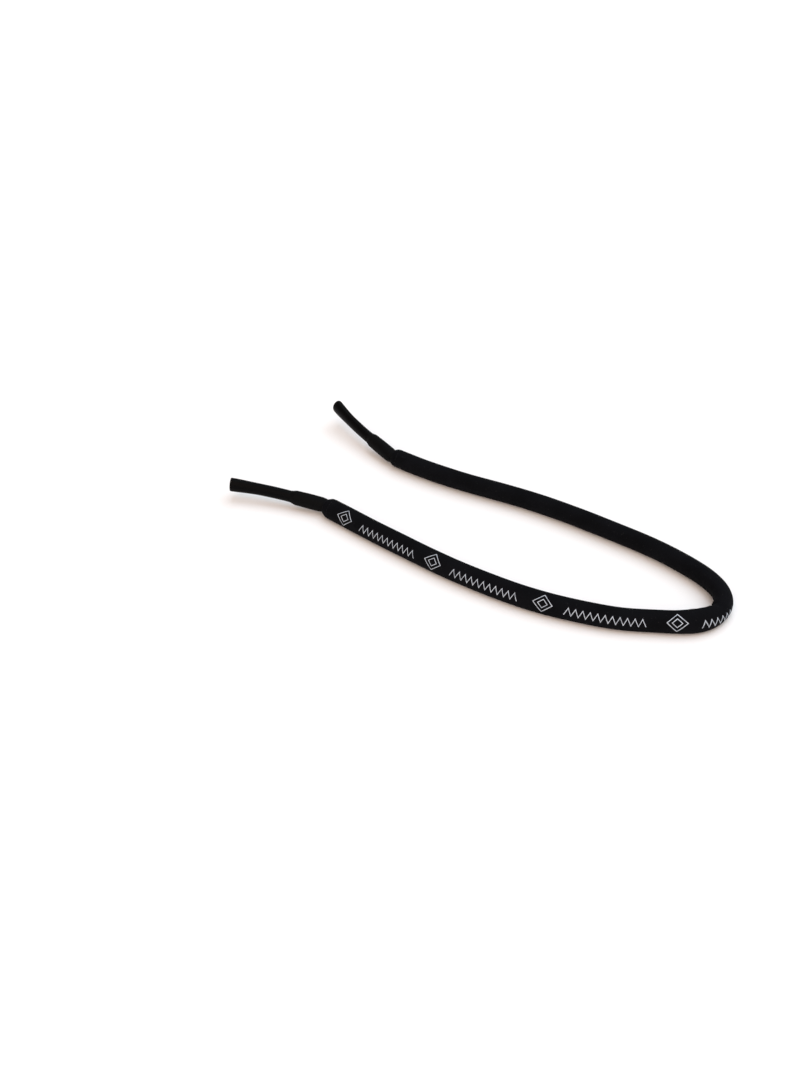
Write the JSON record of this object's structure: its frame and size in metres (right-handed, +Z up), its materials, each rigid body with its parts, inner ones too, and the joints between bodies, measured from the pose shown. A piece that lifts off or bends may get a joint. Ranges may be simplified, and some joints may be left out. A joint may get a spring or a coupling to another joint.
{
  "type": "eyeglass retainer strap",
  "caption": "Soft tubular strap that keeps glasses on: foam-filled fabric tube with a rubber collar and silicone temple socket on a flexible neck at each end.",
  "frame": {"origin": "on the resting plane, under the middle of the bounding box of the strap as it lies", "axes": "+X along the loop towards its bend, away from the temple sockets; +Z up from the resting plane; the wearer's left end is at -Y"},
  "size_m": [0.3086, 0.1146, 0.017],
  "materials": {
    "sleeve_fabric": "near-black stretch knit over a thin laminate, matte, fine ribs, one long seam, light grey printed zigzags and outline lozenges",
    "core_foam": "closed-cell foam, dark grey",
    "elastic_cord": "braided elastic cord, black",
    "collar_rubber": "matte black moulded rubber",
    "socket_silicone": "satin black silicone with soft highlights",
    "guide_plastic": "moulded black nylon",
    "crimp_metal": "crimped steel bead"
  },
  "bodies": {
    "strap": {"sleeve": "sleeve_fabric", "foam_core": "core_foam", "inner_cord": "elastic_cord", "left_end_washer": "guide_plastic", "right_end_washer": "guide_plastic"},
    "left_cord_stop": {"left_cord_stop": "crimp_metal"},
    "left_boot": {"left_collar": "collar_rubber", "left_barb_insert": "guide_plastic", "left_temple_socket": "socket_silicone"},
    "right_cord_stop": {"right_cord_stop": "crimp_metal"},
    "right_boot": {"right_collar": "collar_rubber", "right_barb_insert": "guide_plastic", "right_temple_socket": "socket_silicone"}
  },
  "joints": [
    {"name": "left_boot_swing", "type": "hinge", "parent": "strap", "child": "left_cord_stop", "pos_m": [-0.09528, -0.03418, 0.00619], "axis": [0, 0, 1], "range_deg": [-42, 20], "stiffness_Nm_per_rad": 0.03},
    {"name": "left_boot_lift", "type": "hinge", "parent": "left_cord_stop", "child": "left_boot", "pos_m": [-0.09528, -0.03418, 0.00619], "axis": [-0.2706, 0.9627, 0], "range_deg": [-5, 40], "stiffness_Nm_per_rad": 0.03},
    {"name": "right_boot_swing", "type": "hinge", "parent": "strap", "child": "right_cord_stop", "pos_m": [-0.0922, 0.03417, 0.00619], "axis": [0, 0, -1], "range_deg": [-42, 20], "stiffness_Nm_per_rad": 0.03},
    {"name": "right_boot_lift", "type": "hinge", "parent": "right_cord_stop", "child": "right_boot", "pos_m": [-0.0922, 0.03417, 0.00619], "axis": [0.2706, 0.9627, 0], "range_deg": [-5, 40], "stiffness_Nm_per_rad": 0.03}
  ]
}
